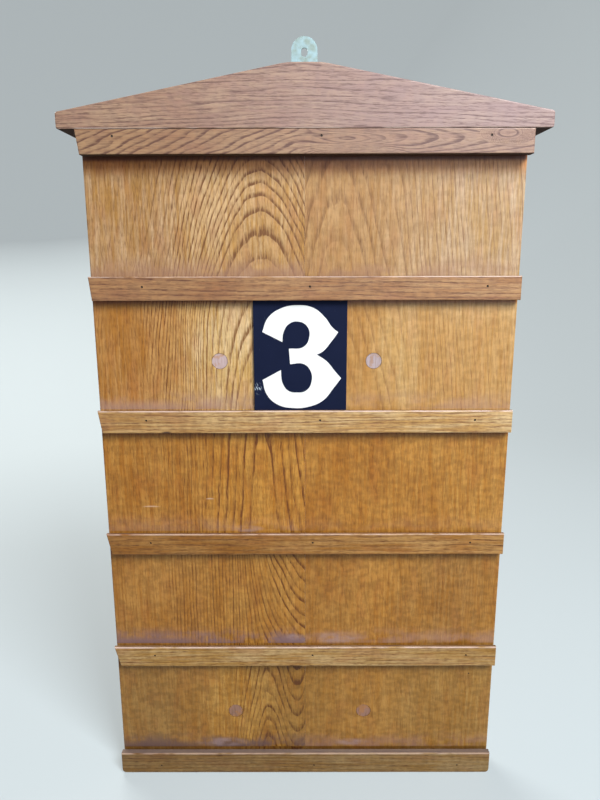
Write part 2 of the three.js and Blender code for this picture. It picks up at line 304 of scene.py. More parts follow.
# Oak: lumps of its noises across the grain, into the wood and along the grain
FINE_LUMP = (0.8, 0.8, 6)
DASH_LUMP = (1.2, 1.2, 10)
FLECK_LUMP = (2.0, 2.0, 22)
DRIFT_LUMP = (26, 26, 60)
STREAK_LUMP = (2.2, 2.2, 45)
WOBBLE_LUMP = (9, 9, 60)
BLUSH_LUMP = (12, 12, 30)
RIPPLE_LUMP = (7, 7, 4.5)

# Oak: noises that change from ring to ring, with lumps in rings and in millimetres along the grain
SPACING_LUMP = (1.9, 300, 1)
WEIGHT_LUMP = (1.1, 150, 1)

# Oak: how far noises move the rings, in rings, and the pale ground
WOBBLE_SWING = 0.5
SPACING_SWING = 0.6
DRIFT_SWING = 0.7

# Oak: the early wood of a year, and the noise values between which each mark comes in
EARLY_START = (0.0, 0.08)
EARLY_END = (0.52, 0.10)
WEIGHT_BAND = (0.36, 0.60)
PORE_BAND = (0.46, 0.70)
DASH_BAND = (0.34, 0.60)
FLECK_BAND = (0.58, 0.72)
SHADE_BAND = (0.30, 0.70)
BLUSH_BAND = (0.48, 0.70)
RIPPLE_BAND = (0.35, 0.65)

# Oak: how dark, rough and deep the marks are
LEAST_WEIGHT = 0.40
LEAST_DASH = 0.30
RING_DARKNESS = 1.3
PORE_DARKNESS = 0.55
FLECK_DARKNESS = 0.30
LEAST_BLUSH = 0.1
BLUSH_BY_TEXTURE = 0.4
OAK_ROUGHNESS = 0.35
PORE_ROUGHNESS = 0.14
EARLY_ROUGHNESS = 0.08
BLOOM_ROUGHNESS = 0.25
PORE_DEPTH = 0.6
EARLY_DEPTH = 0.4


def oak(finish, grain, rings, seed, contrast, texture, tone, bloom_and_sheen=0.0, mottle=PLAIN_MOTTLE):
    """Colour, roughness and height of varnished oak.

    grain is (along, across, depth) in millimetres, contrast the darkness of the rings, texture the strength
    of the pores and streaks, tone a tint, bloom_and_sheen the share of a pale veil that is partly cloudy
    varnish and partly painted sheen, and mottle the strength of the ripple in the pale wood.
    """
    along, across, depth = grain
    place = (across, depth, along)
    by_ring = (rings, along, 0)
    seeds = count(seed)
    fine = finish.noise(place, FINE_LUMP, next(seeds))
    dashes = finish.noise(place, DASH_LUMP, next(seeds))
    flecks = finish.noise(place, FLECK_LUMP, next(seeds))
    drift = finish.waves(place, DRIFT_LUMP, next(seeds), DRIFT_SWING * texture)
    streaks = finish.waves(place, STREAK_LUMP, next(seeds), texture)
    wobble = finish.waves(place, WOBBLE_LUMP, next(seeds), WOBBLE_SWING)
    blush = finish.noise(place, BLUSH_LUMP, next(seeds))
    ripple = finish.noise(place, RIPPLE_LUMP, next(seeds), RICH_DETAIL)
    spacing = finish.waves(by_ring, SPACING_LUMP, next(seeds), SPACING_SWING)
    weight = finish.noise(by_ring, WEIGHT_LUMP, next(seeds))

    year = finish.math("FRACT", rings + wobble + spacing)
    early = finish.band(year, *EARLY_START) * finish.band(year, *EARLY_END)
    early = early * at_least(LEAST_WEIGHT, finish.band(weight, *WEIGHT_BAND))
    pores = finish.band(fine, *PORE_BAND)
    broken = finish.band(dashes, *DASH_BAND)
    dark = early * at_least(LEAST_DASH, broken) * (RING_DARKNESS * contrast)
    dark = dark + (pores * PORE_DARKNESS + finish.band(flecks, *FLECK_BAND) * FLECK_DARKNESS) * texture

    light = finish.mix(finish.band(MIDDLE + drift + streaks, *SHADE_BAND), OAK_PALE, OAK_HONEY)
    red = finish.band(blush, *BLUSH_BAND) * (LEAST_BLUSH + BLUSH_BY_TEXTURE * texture)
    light = finish.mix(red, light, OAK_RED)
    cloudy = MIDDLE + (finish.band(ripple, *RIPPLE_BAND) - MIDDLE) * mottle
    light = finish.tint(light, finish.mix(cloudy, RIPPLE_PALE, RIPPLE_DARK))
    # The pale veil mixed in here is partly cloudy varnish and partly a painted sheen.
    light = finish.mix(bloom_and_sheen, finish.tint(light, tone), BLOOM_AND_SHEEN_COLOUR)
    deep = finish.mix(bloom_and_sheen * DEEP_BLOOM, finish.tint(tone, OAK_DARK), BLOOM_AND_SHEEN_COLOUR)
    colour = finish.mix(finish.math("MINIMUM", dark, 1.0), light, deep)
    roughness = OAK_ROUGHNESS + PORE_ROUGHNESS * pores + EARLY_ROUGHNESS * early + BLOOM_ROUGHNESS * bloom_and_sheen
    height = 1 - pores * PORE_DEPTH - early * broken * EARLY_DEPTH
    return colour, roughness, height


# Varnish: the slopes that count as undersides and as tops, the painted shade of the undersides, and its gloss
UNDERSIDE = (-0.4, -0.8)
TOPSIDE = (0.6, 0.95)
SOFFIT_PAINTED_SHADE = (0.030, 0.010, 0.003)
SOFFIT_SHARE = 0.9
TOP_DULLNESS = 0.9
COAT = 0.22
COAT_ROUGHNESS = 0.30
COAT_IOR = 1.5
OAK_SPECULAR = 0.28
OAK_RELIEF = 0.10


def varnish(finish, colour, roughness, height):
    """A thin coat that is dull on the tops, where dust lies, and on the undersides, which are painted dark as
    shade.
    """
    below = finish.band(finish.normal_z, *UNDERSIDE)
    above = finish.band(finish.normal_z, *TOPSIDE)
    # The undersides are painted near black: a painted shade.
    colour = finish.mix(below * SOFFIT_SHARE, colour, SOFFIT_PAINTED_SHADE)
    dull = finish.math("MAXIMUM", below, above * TOP_DULLNESS)
    finish.paint(Base_Color=colour, Roughness=finish.math("MAXIMUM", roughness, dull))
    finish.paint(Normal=finish.bump(height, OAK_RELIEF), Coat_Weight=(1 - dull) * COAT)
    finish.paint(Coat_Roughness=COAT_ROUGHNESS, Coat_IOR=COAT_IOR, Specular_IOR_Level=OAK_SPECULAR)


# Boards: where marks and tones on the front, and the bare back, fade in, as depths from those faces
FRONT_MARKS = (0.5, 0.1)
FRONT_TONES = (4, 0.5)
BACK_BARE = (-0.6, -0.1)

# Boards: tones of the rows, and of places across them. The rows darken towards the bottom, which paints the
# fall of the light, and the top two rows are paler and bluer, a veil that is partly haze and partly painted
# sheen.
ROW_TONES = [
    (0.87, 1.12, 3.02),
    (0.925, 1.075, 2.01),
    (0.77, 0.735, 0.735),
    (0.71, 0.705, 0.835),
    (0.65, 0.70, 0.91),
]
EDGE_TONE = (0.78, 0.75, 0.75)
FAR_LEFT_TONE = (0.945, 0.925, 0.94)
LEFT_TONE = (1.02, 1.01, 0.99)
HEART_TONE = (1.07, 1.065, 1.0)
RIGHT_TONE = (0.953, 0.925, 0.875)
FAR_RIGHT_TONE = (1.01, 1.05, 1.165)
# Right board's upper rows: darker and warmer inside, paler and bluer at the edge, a painted sheen from light
# on the right.
UPPER_INNER_TONE = (0.92, 0.85, 0.70)
UPPER_OUTER_TONE = (1.04, 1.11, 1.25)
FAR_LEFT = (-70, -120)
FAR_RIGHT = (60, 130)
HEART_SPREAD = (55, 25)
UPPER_LEVELS = (-215, -195)
UPPER_ACROSS = (10, 150)

# Boards: paler and darker patches, each with its row, its middle along x, its half width and its tone
PATCH_HALF_HEIGHT = 80
LEFT_PATCHES = [
    (2, -58, 50, (1.18, 1.46, 2.30)),
    (2, -150, 62, (0.92, 0.82, 0.68)),
    (4, -122, 50, (1.08, 1.09, 1.10)),
    (5, -145, 38, (0.87, 0.88, 0.90)),
    (5, -68, 34, (1.14, 1.16, 1.20)),
    (5, -10, 24, (0.86, 0.85, 0.84)),
]
RIGHT_PATCHES = [
    (2, 76, 24, (1.12, 1.26, 1.55)),
    (4, 62, 26, (1.12, 1.14, 1.18)),
    (4, 132, 36, (0.90, 0.88, 0.90)),
    (5, 55, 45, (1.13, 1.13, 1.18)),
]

# Boards: wood greyed by the cards, for each row. Heights are over the rail.
LEFT_SCUFFS = [0.70, 0.65, 0.25, 1.0, 0.95]
RIGHT_SCUFFS = [0.50, 0.35, 0.10, 0.55, 0.50]
SCUFF_TOP = (0.29, 0.15, 0.09)
SCUFF_UPPER = (0.34, 0.205, 0.165)
LEFT_SCUFF_COLOURS = [SCUFF_TOP, SCUFF_UPPER, SCUFF_UPPER, (0.200, 0.118, 0.117), (0.130, 0.075, 0.064)]
RIGHT_SCUFF_COLOURS = [SCUFF_TOP, SCUFF_UPPER, SCUFF_UPPER, (0.35, 0.20, 0.15), (0.27, 0.15, 0.125)]
SCUFF_RISE = (19, 1)
SCUFF_PATCH_LUMP = (30, 30, 12)
SCUFF_STREAK_LUMP = (2.2, 9, 13)
SCUFF_PATCH_SHARE = 0.75
SCUFF_BAND = (0.38, 0.60)
SCUFF_CORNER_RISE = (11, 1)
SCUFF_CORNER = 0.9
SCUFF_ROUGHNESS = 0.18

# Boards: dirt and painted shade by the laths, as distances from a rail's top or underside and from the
# cornice's
GROOVE_DIRT_AND_SHADE = (0.050, 0.011, 0.001)
GROOVE_SHARES = [0, 0, 0.1, 0.15, 0.55]
GROOVE_OVER_TOP = (0.7, 0.1)
GROOVE_UNDER_TOP = (-12, -11)
CORNICE_GROOVE = (-4, -1)
CORNICE_GROOVE_SHARE = 0.8
CREVICE_PAINTED_SHADE = (0.55, 0.30, 0.14)
CREVICE_BELOW = (-5, -0.5)
CREVICE_ABOVE = (6, 2)
CORNICE_SHADE = (1.15, 0.78, 0.45)
CORNICE_SHADE_DROP = (-16, -4)

# Boards: smears, each with its row, its middle along x, its half width, its height over the rail and its
# half height
SMEAR = (0.36, 0.25, 0.24)
SMEAR_SHARE = 0.5
SMEAR_LUMP = (14, 14, 6)
SMEAR_BAND = (0.30, 0.66)
LEFT_SMEARS = [(5, -78, 30, 5, 6), (4, -8, 12, 5, 6), (3, -50, 17, 2, 4)]
RIGHT_SMEARS = [(4, 28, 33, 5, 7), (5, 44, 18, 5, 5)]

# Boards: scratches, each with its row, its middle along x, its height over the rail and its length
SCRATCH = (0.62, 0.42, 0.30)
SCRATCH_SHARE = 0.55
SCRATCH_HALF_WIDTH = 0.9
SCRATCH_BOW = -0.5
LEFT_SCRATCHES = [(3, -133, 23, 18), (3, -82, 30, 9)]

# Boards: a small hole in the right one, and the unvarnished back
HOLE_COLOUR = (0.02, 0.012, 0.008)
HOLE_X = 150
HOLE_Z = -530
HOLE_RADIUS = 0.9
OAK_BARE = (0.36, 0.25, 0.15)
BARE_SHARE = 0.65
BARE_SHADE = (0.85, 0.85, 0.85)
BARE_ROUGHNESS = 0.35


def below_rail(finish, number, inset=0.0):
    """0 above a rail and 1 below it, changing behind the rail, this far in from its edges."""
    bottom, top = level(f"rail_{number}_face")
    return finish.band(finish.z, top - inset, bottom + inset)


def by_row(finish, values):
    """A colour or number for each row of the boards, changing behind the rails."""
    colours = [value if isinstance(value, tuple) else (value, value, value) for value in values]
    chosen = colours[0]
    for number, below in enumerate(colours[1:], start=1):
        chosen = finish.mix(below_rail(finish, number), chosen, below)
    return chosen


def over_rail(finish):
    """Height over the top of the nearest rail below, in millimetres."""
    return finish.math("FRACT", (finish.z - rail_top(1)) / ROW_PITCH) * ROW_PITCH


def on_front(finish):
    """1 on the front face of the boards, 0 on their edges and back."""
    return finish.band_at(finish.y, BOARD_FRONT, FRONT_MARKS)


def row_tones_with_painted_light(finish):
    """The tone of each row on the front of the boards, which holds painted light and shade, and one tone for
    their edges and back.
    """
    front = finish.band_at(finish.y, BOARD_FRONT, FRONT_TONES)
    return finish.mix(front, EDGE_TONE, by_row(finish, ROW_TONES))


def patches(finish, tone, places):
    """Paler and darker patches, each about the middle of its row's height."""
    for row, middle, half_width, shade in places:
        height = rail_top(row) + (ROW_PITCH - RAIL_HEIGHT) / 2
        patch = finish.spot((finish.x - middle) / half_width, (finish.z - height) / PATCH_HALF_HEIGHT)
        tone = finish.mix(patch, tone, finish.tint(tone, shade))
    return tone


def scuffs(finish, colour, roughness, amounts, colours, seed):
    """Greyed wood where the cards rub, in a broken band above each rail and a whole one at the far left."""
    rise = over_rail(finish)
    patchy = finish.noise(finish.place, SCUFF_PATCH_LUMP, seed)
    streaky = finish.noise(finish.place, SCUFF_STREAK_LUMP, seed + 1)
    broken = finish.band(patchy * SCUFF_PATCH_SHARE + streaky * (1 - SCUFF_PATCH_SHARE), *SCUFF_BAND)
    corner = finish.band(rise, *SCUFF_CORNER_RISE) * finish.band(finish.x, *FAR_LEFT) * SCUFF_CORNER
    near = finish.math("MAXIMUM", finish.band(rise, *SCUFF_RISE) * broken, corner)
    amount = near * on_front(finish) * by_row(finish, amounts)
    return finish.mix(amount, colour, by_row(finish, colours)), roughness + SCUFF_ROUGHNESS * amount


def shade_and_dirt_by_laths(finish, colour):
    """Painted shade under the rails and the cornice, and dirt with painted shade in their grooves."""
    z, rise, face = finish.z, over_rail(finish), on_front(finish)
    underside = ROW_PITCH - RAIL_HEIGHT
    crevice = face * finish.band_at(rise, underside, CREVICE_BELOW)
    crevice = crevice * finish.band_at(rise, underside, CREVICE_ABOVE)
    # Painted shade under each rail: a brown darkening of the wood.
    colour = finish.mix(crevice, colour, finish.tint(colour, CREVICE_PAINTED_SHADE))
    # Painted shade below the cornice: a warm brown darkening.
    shaded = face * finish.band_at(z, CORNICE_BOTTOM, CORNICE_SHADE_DROP)
    colour = finish.mix(shaded, colour, finish.tint(colour, CORNICE_SHADE))
    over_top = finish.band(rise, *GROOVE_OVER_TOP)
    under_top = finish.band_at(rise, ROW_PITCH, GROOVE_UNDER_TOP)
    groove = finish.math("MAXIMUM", over_top, under_top) * by_row(finish, GROOVE_SHARES)
    # Right under the cornice the dark band is a painted shadow; by the rails it is dirt and painted shade.
    under_cornice = finish.band_at(z, CORNICE_BOTTOM, CORNICE_GROOVE) * CORNICE_GROOVE_SHARE
    groove = finish.math("MAXIMUM", groove, under_cornice)
    return finish.mix(groove * face, colour, GROOVE_DIRT_AND_SHADE)


def smears(finish, colour, places, seed):
    """Pale cloudy patches with ragged edges."""
    ragged = finish.band(finish.noise(finish.place, SMEAR_LUMP, seed, RAGGED_DETAIL), *SMEAR_BAND)
    ragged = ragged * on_front(finish)
    for row, middle, half_width, above, half_height in places:
        height = rail_top(row) + above
        patch = finish.spot((finish.x - middle) / half_width, (finish.z - height) / half_height)
        colour = finish.mix(patch * ragged * SMEAR_SHARE, colour, SMEAR)
    return colour


def scratches(finish, colour, places):
    """Short pale scores across the board, a little bowed."""
    face = on_front(finish)
    for row, middle, above, length in places:
        along = (finish.x - middle) / (length / 2)
        across = finish.z - (rail_top(row) + above) - along * along * SCRATCH_BOW
        mark = finish.spot(along, across / SCRATCH_HALF_WIDTH) * face
        colour = finish.mix(mark * SCRATCH_SHARE, colour, SCRATCH)
    return colour


def bare_back(finish, colour, roughness):
    """The unvarnished back of the boards."""
    back = finish.band_at(finish.y, BOARD_BACK, BACK_BARE)
    bare = finish.tint(finish.mix(BARE_SHARE, colour, OAK_BARE), BARE_SHADE)
    return finish.mix(back, colour, bare), roughness + BARE_ROUGHNESS * back


def arch(finish, aside, blunt):
    """Distance from an arch's middle line, rounded off near it: larger blunt makes a rounder head."""
    return finish.length(aside, blunt) - blunt


# Left board: its arches. Distances aside are from the heart, and levels are heights in the part's frame.
LEFT_HEART = -35
LEFT_RING = 6.6
LEFT_WAVE_LUMP = (30, 30, 60)
LEFT_WAVE = 6
INWARD = 0.8
CHANGE_INSET = 3
LEAN = 0.0025
LEAN_LEVEL = -345
LEAN_SIDE = (-30, 0)
BLUNT_LOW = 10
BLUNT_RISE = 14
BLUNT_LEVELS = (-300, -180)
BACK_FIGURE = (4, 10)
BACK_CLIMB = 0.16

# Left board, upper rows: slopes of the climb, with the levels above which they add up, and the outer rings
CLIMB_BASE = -25
LOW_LEVEL = -390
LOW_CLIMB = 0.06
CLIMBS = [(0.26, -290), (0.08, -185)]
CLIMB_EASE = 20.0
STRAIGHTER = 0.35
STRAIGHT_SPREAD = (5, 60)
STRAIGHT_CLIMB = 64
OUTER_REACH = 43
OUTER_SPREAD = 38
OUTER_EASE = 8.0
OUTER_RINGS = [0.10, 0.22, 0.16, 0, 0]

# Left board, fourth row: millimetres to a ring across and up, and where the slope across changes
FOURTH_RING = 6
FOURTH_CLIMB_RING = 12
FOURTH_CLIMB_SIDE = (-30, 12)
FOURTH_WIDER = 0.75
FOURTH_WIDER_START = 28
FOURTH_WIDER_EASE = 12.0
FOURTH_CLOSER = 0.17
FOURTH_CLOSER_START = 18
FOURTH_CLOSER_EASE = 10.0
LOWER_INWARD_RING = 5

# Left board, fifth row: the dip of the right arms in rings, and the left arms
FIFTH_DIP = 1.9
FIFTH_DIP_LENGTH = 27
FIFTH_RING = 3.2
FIFTH_BLUNT = 6
FIFTH_LEVEL = 45
FIFTH_CLIMB_RING = 17
FIFTH_UPRIGHT = 0.85
FIFTH_UPRIGHT_SIDE = (-12, -45)

# Left board: strength of the rings, pores and ripple in each row, and where the rings fade out
LEFT_CONTRAST = [0.88, 0.92, 1.0, 0.95, 1.0]
LEFT_TEXTURE = [0.80, 0.72, 0.75, 0.55, 0.55]
LEFT_MOTTLE = [0.5, 0.5, 0.8, 0.9, 0.95]
LEAST_CONTRAST = 0.25
FADE_SPREAD = (92, 60)
FLANK_SPREAD = (32, 55)
FLANK_LOSS = [0.3, 0, 0.5, 0.2, 0.6]
LEFT_ARM = (-12, -34)
LEFT_ARM_LOSS = [0, 0, 0, 0, 0.75]


def upper_figure(finish, spread, inward):
    """Rings of the left board's upper three rows: tall nested arches, closer together at their sides."""
    climb = CLIMB_BASE + LOW_CLIMB * (finish.z - LOW_LEVEL)
    for slope, start in CLIMBS:
        climb = climb + slope * finish.past(finish.z, start, CLIMB_EASE)
    above = 1 - below_rail(finish, 2, CHANGE_INSET)
    straighter = STRAIGHTER * finish.band(spread, *STRAIGHT_SPREAD) * above
    climb = climb - (climb - STRAIGHT_CLIMB) * straighter
    reach = spread + climb + inward
    outside = finish.math("SMOOTH_MAX", reach - OUTER_REACH, spread - OUTER_SPREAD, OUTER_EASE)
    return reach / LEFT_RING + finish.past(outside, 0.0, OUTER_EASE) * by_row(finish, OUTER_RINGS)


def fourth_figure(finish, aside, inward):
    """Rings of the left board's fourth row: upright on the left, slanting from the heart to the joint."""
    wider = FOURTH_WIDER * finish.past(aside, FOURTH_WIDER_START, FOURTH_WIDER_EASE)
    across = (aside - wider) / FOURTH_RING
    across = across - FOURTH_CLOSER * finish.past(aside * -1, FOURTH_CLOSER_START, FOURTH_CLOSER_EASE)
    climb = over_rail(finish) / FOURTH_CLIMB_RING * finish.band(aside, *FOURTH_CLIMB_SIDE)
    return across + climb + inward / LOWER_INWARD_RING


def fifth_figure(finish, aside, inward):
    """Rings of the left board's fifth row: arches whose right arms dip towards the joint and rise again."""
    right = finish.math("MAXIMUM", aside, 0.0)
    left = finish.math("MINIMUM", aside, 0.0)
    dip = FIFTH_DIP - FIFTH_DIP * finish.math("COSINE", right * math.pi / FIFTH_DIP_LENGTH)
    sloping = 1 - FIFTH_UPRIGHT * finish.band(left, *FIFTH_UPRIGHT_SIDE)
    climb = (over_rail(finish) - FIFTH_LEVEL) / FIFTH_CLIMB_RING * sloping
    return dip + arch(finish, left, FIFTH_BLUNT) / FIFTH_RING + climb + inward / LOWER_INWARD_RING


def left_board():
    """Flat-sawn board whose heart lies near the joint, with a figure that changes behind the rails."""
    finish = Finish("oak_left_board")
    x, y, z = finish.place
    aside = x - LEFT_HEART
    third_row = below_rail(finish, 2, CHANGE_INSET) * (1 - below_rail(finish, 3, CHANGE_INSET))
    lean = third_row * finish.band(aside, *LEAN_SIDE)
    aside = aside * (1 + LEAN * (z - LEAN_LEVEL) * lean)
    waves = finish.waves(finish.place, LEFT_WAVE_LUMP, seed=3, swing=LEFT_WAVE)
    inward = (y - BOARD_FRONT) * INWARD + waves
    spread = arch(finish, aside, BLUNT_LOW + BLUNT_RISE * finish.band(z, *BLUNT_LEVELS))

    rings = upper_figure(finish, spread, inward)
    rings = finish.mix(below_rail(finish, 3, CHANGE_INSET), rings, fourth_figure(finish, aside, inward))
    rings = finish.mix(below_rail(finish, 4, CHANGE_INSET), rings, fifth_figure(finish, aside, inward))
    behind = (spread + BACK_CLIMB * (z - LOW_LEVEL) + waves) / LEFT_RING
    rings = finish.mix(finish.band_at(y, BOARD_FRONT, BACK_FIGURE), rings, behind)

    contrast = at_least(LEAST_CONTRAST, finish.band(spread, *FADE_SPREAD))
    contrast = contrast * (1 - finish.band(spread, *FLANK_SPREAD) * by_row(finish, FLANK_LOSS))
    contrast = contrast * (1 - finish.band(aside, *LEFT_ARM) * by_row(finish, LEFT_ARM_LOSS))
    contrast = contrast * by_row(finish, LEFT_CONTRAST)
    texture, mottle = by_row(finish, LEFT_TEXTURE), by_row(finish, LEFT_MOTTLE)
    side = finish.mix(finish.band(x, *FAR_LEFT), LEFT_TONE, FAR_LEFT_TONE)
    side = finish.mix(finish.band(spread, *HEART_SPREAD), side, HEART_TONE)
    tone = patches(finish, finish.tint(row_tones_with_painted_light(finish), side), LEFT_PATCHES)
    colour, roughness, height = oak(finish, (z, x, y), rings, 11, contrast, texture, tone, mottle=mottle)
    colour, roughness = scuffs(finish, colour, roughness, LEFT_SCUFFS, LEFT_SCUFF_COLOURS, seed=21)
    colour = smears(finish, shade_and_dirt_by_laths(finish, colour), LEFT_SMEARS, seed=23)
    colour = scratches(finish, colour, LEFT_SCRATCHES)
    colour, roughness = bare_back(finish, colour, roughness)
    varnish(finish, colour, roughness, height)
    finish.give("back_board_left")


# Right board
RIGHT_HEART = 25
RIGHT_RING = 7.5
RIGHT_WAVE_LUMP = (45, 45, 90)
RIGHT_WAVE = 10
RIGHT_BLUNT = 15
RIGHT_LEVEL = -174
RIGHT_CLIMB = 0.25
RIGHT_OUTER_RING = 3.4
RIGHT_OUTER_SPREAD = 45
RIGHT_OUTER_EASE = 15.0
RIGHT_CONTRAST = [0.42, 0.30, 0.18, 0.15, 0.15]
RIGHT_TEXTURE = [0.50, 0.40, 0.60, 0.58, 0.46]
RIGHT_MOTTLE = [0.5, 0.6, 0.9, 0.95, 0.95]


def right_board():
    """Plainer board: a few wide arches near the joint at the top, and little figure below."""
    finish = Finish("oak_right_board")
    x, y, z = finish.place
    waves = finish.waves(finish.place, RIGHT_WAVE_LUMP, seed=5, swing=RIGHT_WAVE)
    spread = arch(finish, x - RIGHT_HEART, RIGHT_BLUNT)
    reach = spread + RIGHT_CLIMB * (z - RIGHT_LEVEL) + (y - BOARD_FRONT) * INWARD + waves
    outer = finish.past(spread, RIGHT_OUTER_SPREAD, RIGHT_OUTER_EASE)
    rings = reach / RIGHT_RING + outer * (1 / RIGHT_OUTER_RING - 1 / RIGHT_RING)
    contrast, texture = by_row(finish, RIGHT_CONTRAST), by_row(finish, RIGHT_TEXTURE)
    mottle = by_row(finish, RIGHT_MOTTLE)
    side = finish.mix(finish.band(x, *FAR_RIGHT), RIGHT_TONE, FAR_RIGHT_TONE)
    # Painted sheen in the upper rows, growing towards the right edge.
    upper_right_sheen = finish.mix(finish.band(x, *UPPER_ACROSS), UPPER_INNER_TONE, UPPER_OUTER_TONE)
    side = finish.mix(finish.band(z, *UPPER_LEVELS), side, finish.tint(side, upper_right_sheen))
    tone = patches(finish, finish.tint(row_tones_with_painted_light(finish), side), RIGHT_PATCHES)
    colour, roughness, height = oak(finish, (z, x, y), rings, 31, contrast, texture, tone, mottle=mottle)
    colour, roughness = scuffs(finish, colour, roughness, RIGHT_SCUFFS, RIGHT_SCUFF_COLOURS, seed=41)
    colour = smears(finish, shade_and_dirt_by_laths(finish, colour), RIGHT_SMEARS, seed=43)
    colour = finish.mix(finish.spot(x - HOLE_X, z - HOLE_Z, HOLE_RADIUS), colour, HOLE_COLOUR)
    colour, roughness = bare_back(finish, colour, roughness)
    varnish(finish, colour, roughness, height)
    finish.give("back_board_right")


# Rails: tilt is the slope of the grain, ring the width of its rings, sheen_across the strength of a change of
# tone from left to right that paints light and sheen from the right, rubbed the paling of the arris, which is
# wear and a painted highlight, and nick a dent's place along x
# Tones at the rails' left and right ends: the change paints light and sheen falling from the right.
RAIL_LEFT_TONE = (0.86, 0.84, 0.87)
RAIL_RIGHT_TONE = (1.08, 1.18, 1.56)
RAIL_ACROSS = (-150, 150)
RAIL_TEXTURE = 0.85
RAIL_WAVE_LUMP = (110, 12, 12)
RAIL_WAVE = 9
RAIL_DEPTH_SLOPE = 0.6
RAIL_DIRT = (0.12, 0.06, 0.035)
PALE_TOP = (0.15, 0.115, 0.110)
RAIL_DIRT_SHARE = 0.7
RAIL_UPPER = (-1.2, -0.3)
RAIL_BEHIND_ARRIS = (1.0, 1.6)
RAIL_ARRIS = (1.5, 0.9)
RAIL_PALE_LUMP = (16, 4, 4)
RAIL_PALE_SEED = 9
RAIL_PALE_BAND = (0.25, 0.55)
NICK_COLOUR = (0.06, 0.025, 0.012)
NICK_HALF_LENGTH = 5.5
NICK_HALF_HEIGHT = 2.4
RAIL_LOOKS = {
    "rail_1": dict(
        tone=(0.68, 0.67, 0.87), tilt=0.010, ring=4.2, seed=111, contrast=0.65, bloom_and_sheen=0.12, pale_share=0.55,
    ),
    "rail_2": dict(
        tone=(1.01, 1.27, 2.25), tilt=-0.012, ring=3.4, seed=121, contrast=0.6, bloom_and_sheen=0.08, nick=-115,
    ),
    "rail_3": dict(tone=(0.66, 0.65, 0.82), tilt=0.006, ring=4.0, seed=131, contrast=0.5, pale_share=0.6),
    "rail_4": dict(tone=(0.84, 1.05, 1.96), tilt=-0.006, ring=3.2, seed=141, contrast=0.5, sheen_across=-0.15),
    "rail_5": dict(
        tone=(0.495, 0.59, 0.98), tilt=0.008, ring=3.6, seed=151, contrast=0.5, pale_share=0.45,
        top_colour=PALE_TOP,
    ),
}


def lath(
    name, tone, tilt, ring, seed, contrast,
    bloom_and_sheen=0.0, sheen_across=1.0, pale_share=0.9, top_colour=RAIL_DIRT, nick=None,
):
    """A rail with its grain along its length: its front arris is pale, worn by cards and with a painted
    highlight, and its top is dirty.
    """
    finish = Finish(f"oak_{name}")
    x, y, z = finish.place
    top, front = level(f"{name}_face")[1], front_of(f"{name}_face")
    waves = finish.waves(finish.place, RAIL_WAVE_LUMP, seed, RAIL_WAVE)
    rings = (z - top + y * RAIL_DEPTH_SLOPE + x * tilt + waves) / ring
    # Darker on the left and paler and bluer on the right: painted light and sheen from the right.
    across = MIDDLE + (finish.band(x, *RAIL_ACROSS) - MIDDLE) * sheen_across
    tone = finish.tint(finish.mix(across, RAIL_LEFT_TONE, RAIL_RIGHT_TONE), tone)
    colour, roughness, height = oak(finish, (x, z, y), rings, seed, contrast, RAIL_TEXTURE, tone, bloom_and_sheen)
    upper = finish.band_at(z, top, RAIL_UPPER)
    dirty = upper * finish.band_at(y, front, RAIL_BEHIND_ARRIS) * RAIL_DIRT_SHARE
    colour = finish.mix(dirty, colour, top_colour)
    patchy = finish.noise(finish.place, RAIL_PALE_LUMP, seed + RAIL_PALE_SEED)
    # The pale front arris is wear and a painted highlight.
    pale_arris = upper * finish.band_at(y, front, RAIL_ARRIS) * finish.band(patchy, *RAIL_PALE_BAND)
    colour = finish.mix(pale_arris * pale_share, colour, ARRIS_WEAR_AND_HIGHLIGHT)
    if nick is not None:
        dent = finish.spot((x - nick) / NICK_HALF_LENGTH, (z - top + RAIL_HEIGHT) / NICK_HALF_HEIGHT)
        colour = finish.mix(dent, colour, NICK_COLOUR)
    varnish(finish, colour, roughness, height)
    finish.give(f"{name}_face", f"{name}_spacer")


# Cornice: slanting grain, then tongues about a middle line, then a knot
CORNICE_TONE = (0.57, 0.62, 1.02)
CORNICE_CONTRAST = 1.3
CORNICE_TEXTURE = 0.65
CORNICE_LEAST_BLOOM = 0.18
CORNICE_SHEEN_TO_RIGHT = 0.17
CORNICE_SHEEN_ACROSS = (-150, 180)
CORNICE_WAVE_LUMP = (60, 16, 16)
CORNICE_WAVE = 10
SLANT_RING = 4.8
SLANT_DEPTH_SLOPE = 0.5
SLANT = 0.42
TONGUE_START = (-10, 40)
TONGUE_MIDDLE = 11
TONGUE_RING = -11
TONGUE_SHIFT = 13.5
TONGUE_BLUNT = 1.4
TONGUE_LONGER = 1.15
TONGUE_LONGER_ACROSS = (35, 85)
TONGUE_WIDER = 0.5
TONGUE_WIDER_START = 65
TONGUE_WIDER_EASE = 10.0
KNOT_X = 151
KNOT_RISE = 3.5
KNOT_STRETCH = 2.4
KNOT_RING = 2.6
KNOT_EDGE = (9, 4)


